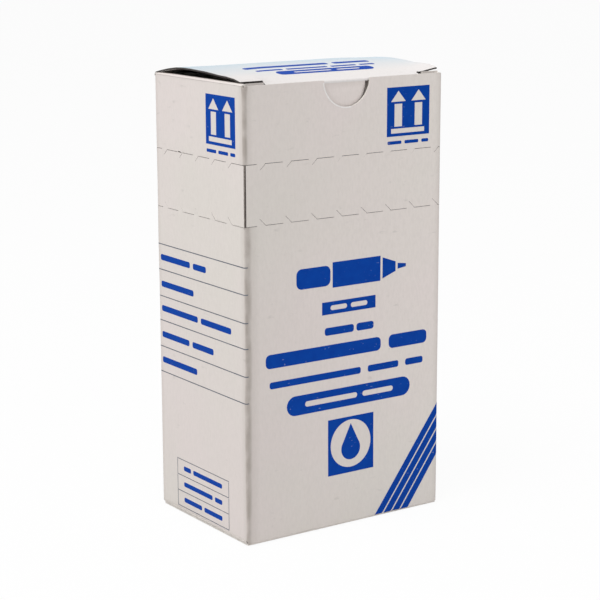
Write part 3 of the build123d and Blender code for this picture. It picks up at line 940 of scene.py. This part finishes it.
# Ruled lines with bars above them, and a small table.
left_print = []
rule_print = []
rule_left, rule_right, rule_half = -half_depth + 0.3, half_depth + 0.9, 0.14
line_left, line_width, line_low, line_high, line_gap = -23.2, 46.0, 3.0, 4.9, 1.8
table_left, table_right, table_half = (-15.4, -15.18), (14.68, 14.9), 0.11
cell_low, cell_high = 0.15, 4.95
entry_left, entry_right, entry_low, entry_high, entry_gap = -11.5, 11.0, 1.8, 3.3, 1.4
rules = (85.25, 77.15, 68.65, 60.85, 52.45, 44.25)
for rule in rules:
    rule_print.append([block(rule_left, rule - rule_half, rule_right, rule + rule_half)])
rows = ((0.58, (7, 3)), (0.42, (1,)), (0.88, (5, 4)), (0.66, (4, 3)), (0.45, (1,)))
for rule, (share, shares) in zip(rules[1:], rows):
    line_right = line_left + line_width * share
    left_print += bars(line_left, rule + line_low, line_right, rule + line_high, shares, line_gap)
for level in (17.7, 12.5, 7.3, 2.2):
    rule_print.append([block(table_left[0], level - table_half, table_right[1], level + table_half)])
for level, shares in ((2.2, (5, 5)), (7.3, (4, 1)), (12.5, (1, 4))):
    for left, right in (table_left, table_right):
        rule_print.append([block(left, level + cell_low, right, level + cell_high)])
    left_print += bars(entry_left, level + entry_low, entry_right, level + entry_high, shares, entry_gap)

box_low = 119.6
row_low, row_high, row_shares, row_gap = 117.2, 118.2, (4, 4, 2), 1.2
hood_print = moved([arrow_box(15.3, box_low, 31.5, 134.5)], front_middle)
hood_print += moved([arrow_box(4.7, box_low, 20.7, 134.4)], left_middle)
hood_print += moved(bars(15.6, row_low, 31.2, row_high, row_shares, row_gap), front_middle)
hood_print += moved(bars(5.0, row_low, 20.6, row_high, row_shares, row_gap), left_middle)
tray_print = moved(front_print, front_middle) + moved(left_print, left_middle)
tray_rules = moved(rule_print, left_middle)
printed("tray_print", "tray", tray_print, wall_place(wall), wall_lines, tray_lines, blue)
printed("tray_rules", "tray", tray_rules, wall_place(wall), wall_lines, tray_lines, grey)
printed("hood_print", "hood", hood_print, wall_place(wall, False), wall_lines, hood_lines, blue)

# A painted highlight along the lower left part of the notch's rim: a pale film where the cut edge would catch the
# light.
notch_highlight = []
for reach in (0.0, highlight_width):
    curve = []
    for step in range(notch_steps + 1):
        turn = radians(highlight_start + highlight_turn * step / notch_steps)
        curve.append((front_middle + notch_middle + (notch_radius + reach) * cos(turn),
                      notch_centre + (notch_radius + reach) * sin(turn)))
    notch_highlight += curve if reach else curve[::-1]
notch_highlight = [(u, min(z, front_top)) for u, z in notch_highlight]
printed("notch_painted_highlight", "hood", [[notch_highlight]], wall_place(wall, False), wall_lines, hood_lines, notch_highlight_look)

lid_marks = [[pill(-18.1, -16.3, 17.0, -12.7), pill(-12.0, -15.0, 1.5, -14.0), pill(3.5, -15.0, 12.0, -14.0)]]
lid_marks += bars(-22.9, -11.4, 20.3, -10.1, (5, 8, 5, 3), 1.4) + bars(-24.5, -7.6, 21.3, -5.2, (9, 4), 2.2)
lid_print = [[[(bow_begin + bow_start.x - y, x) for x, y in outline] for outline in shape] for shape in lid_marks]
printed("lid_print", "lid", lid_print, lid_place, lid_fold.lines(), lid_columns, blue)

# The solids that stay: the base flaps and the pens.
slot_looks = {
    "printed_board": raw_board("base_board", (0.74, 0.70, 0.66), (0.64, 0.60, 0.56), 500.0, (1, 1, 1)),
    "pen_barrel_plastic": moulded("barrel_plastic", (0.80, 0.80, 0.78), (0.76, 0.76, 0.74), 0.38, 1400.0, 0.04),
    "pen_cap_plastic": moulded("cap_plastic", (0.010, 0.075, 0.40), (0.008, 0.062, 0.34), 0.24, 1600.0, 0.015),
    "pen_nozzle_plastic": moulded("nozzle_plastic", (0.78, 0.78, 0.76), (0.72, 0.72, 0.70), 0.35, 1000.0, 0.08),
    "tip_metal": turned_metal("turned_tip", (0.74, 0.73, 0.70), (0.64, 0.63, 0.61), 0.24),
    "spring_steel": turned_metal("bright_steel", (0.66, 0.66, 0.66), (0.54, 0.54, 0.55), 0.28),
    "seal_rubber": moulded("soft_seal", (0.74, 0.73, 0.71), (0.68, 0.67, 0.65), 0.60, 700.0, 0.15),
}
for row in frame["record"]["subparts"]:
    node = frame["nodes"][row["node"]]
    node.data.materials.clear()
    node.data.materials.append(slot_looks[row["material_slot"]])
    if row["material_slot"] in ("pen_barrel_plastic", "pen_cap_plastic"):
        node.modifiers.new("join", "WELD").merge_threshold = 1e-6
        soft = node.modifiers.new("soft_edges", "BEVEL")
        soft.width = pen_edge / 1000
        soft.segments = 3
        soft.angle_limit = radians(25)
        node.modifiers.new("shading", "WEIGHTED_NORMAL")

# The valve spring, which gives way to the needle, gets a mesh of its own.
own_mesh(frame["nodes"]["pen_05_valve_spring"])

# Floor, light and camera, in metres.
floor_half = 4.0
floor_level = -0.0003
glow_share = 0.94
sky_strength = 0.52
lamp_aim = Vector((0, 0, 0.07))
camera_place = (-0.31754, -0.46256, 0.18991)
camera_heading = radians(-34.502)
camera_pitch = radians(90 - 12.380)
camera_roll = radians(-0.203)

floor_mesh = bpy.data.meshes.new("floor")
floor_corners = [(x, y, floor_level) for x, y in block(-floor_half, -floor_half, floor_half, floor_half)]
floor_mesh.from_pydata(floor_corners, [], [(0, 1, 2, 3)])
floor = bpy.data.objects.new("floor", floor_mesh)
bpy.context.scene.collection.objects.link(floor)


def seen_directly(tree):
    """1 for rays that show the background as it is, 0 for rays that only light the object."""
    path = tree.nodes.new("ShaderNodeLightPath")
    seen = combine(tree, "MAXIMUM", path.outputs["Is Camera Ray"], path.outputs["Is Glossy Ray"])
    return combine(tree, "MAXIMUM", seen, path.outputs["Is Transmission Ray"])


pale_floor = bpy.data.materials.new("pale_floor")
pale_floor.use_nodes = True
tree = pale_floor.node_tree
tree.nodes.clear()
matt = tree.nodes.new("ShaderNodeBsdfDiffuse")
grain = spread(tree, speckle(tree, scale=40.0, detail=3.0), 0.3, 0.7)
tree.links.new(tint(tree, grain, (0.86, 0.86, 0.86), (0.84, 0.84, 0.84)), matt.inputs["Color"])
glow = tree.nodes.new("ShaderNodeEmission")
both = tree.nodes.new("ShaderNodeMixShader")
output = tree.nodes.new("ShaderNodeOutputMaterial")
tree.links.new(combine(tree, "MULTIPLY", seen_directly(tree), glow_share), both.inputs["Fac"])
tree.links.new(matt.outputs["BSDF"], both.inputs[1])
tree.links.new(glow.outputs["Emission"], both.inputs[2])
tree.links.new(both.outputs["Shader"], output.inputs["Surface"])
floor_mesh.materials.append(pale_floor)

world = bpy.data.worlds.new("studio")
bpy.context.scene.world = world
world.use_nodes = True
tree = world.node_tree
sky = tree.nodes["Background"]
sky.inputs["Color"].default_value = (1, 1, 1, 1)
tree.links.new(spread(tree, seen_directly(tree), 0.0, 1.0, sky_strength, 1.0), sky.inputs["Strength"])


def lamp(name, toward, distance, size, power):
    """A soft square lamp that faces the middle of the carton."""
    data = bpy.data.lights.new(name, "AREA")
    data.size = size
    data.energy = power
    made = bpy.data.objects.new(name, data)
    bpy.context.scene.collection.objects.link(made)
    spot = Vector(toward).normalized() * distance
    made.location = spot + lamp_aim
    made.rotation_euler = spot.to_track_quat("Z", "Y").to_euler()


lamp("key", toward=(-0.42, -0.17, 0.89), distance=1.2, size=0.8, power=10.4)

view = bpy.data.cameras.new("camera")
view.lens = 109.54
view.sensor_width = 36.0
view.sensor_fit = "HORIZONTAL"
view.clip_end = 20.0
camera = bpy.data.objects.new("camera", view)
bpy.context.scene.collection.objects.link(camera)
camera.matrix_world = (Matrix.Translation(camera_place) @ Matrix.Rotation(camera_heading, 4, "Z")
                       @ Matrix.Rotation(camera_pitch, 4, "X") @ Matrix.Rotation(camera_roll, 4, "Z"))
bpy.context.scene.camera = camera
bpy.context.scene.view_settings.view_transform = "Standard"
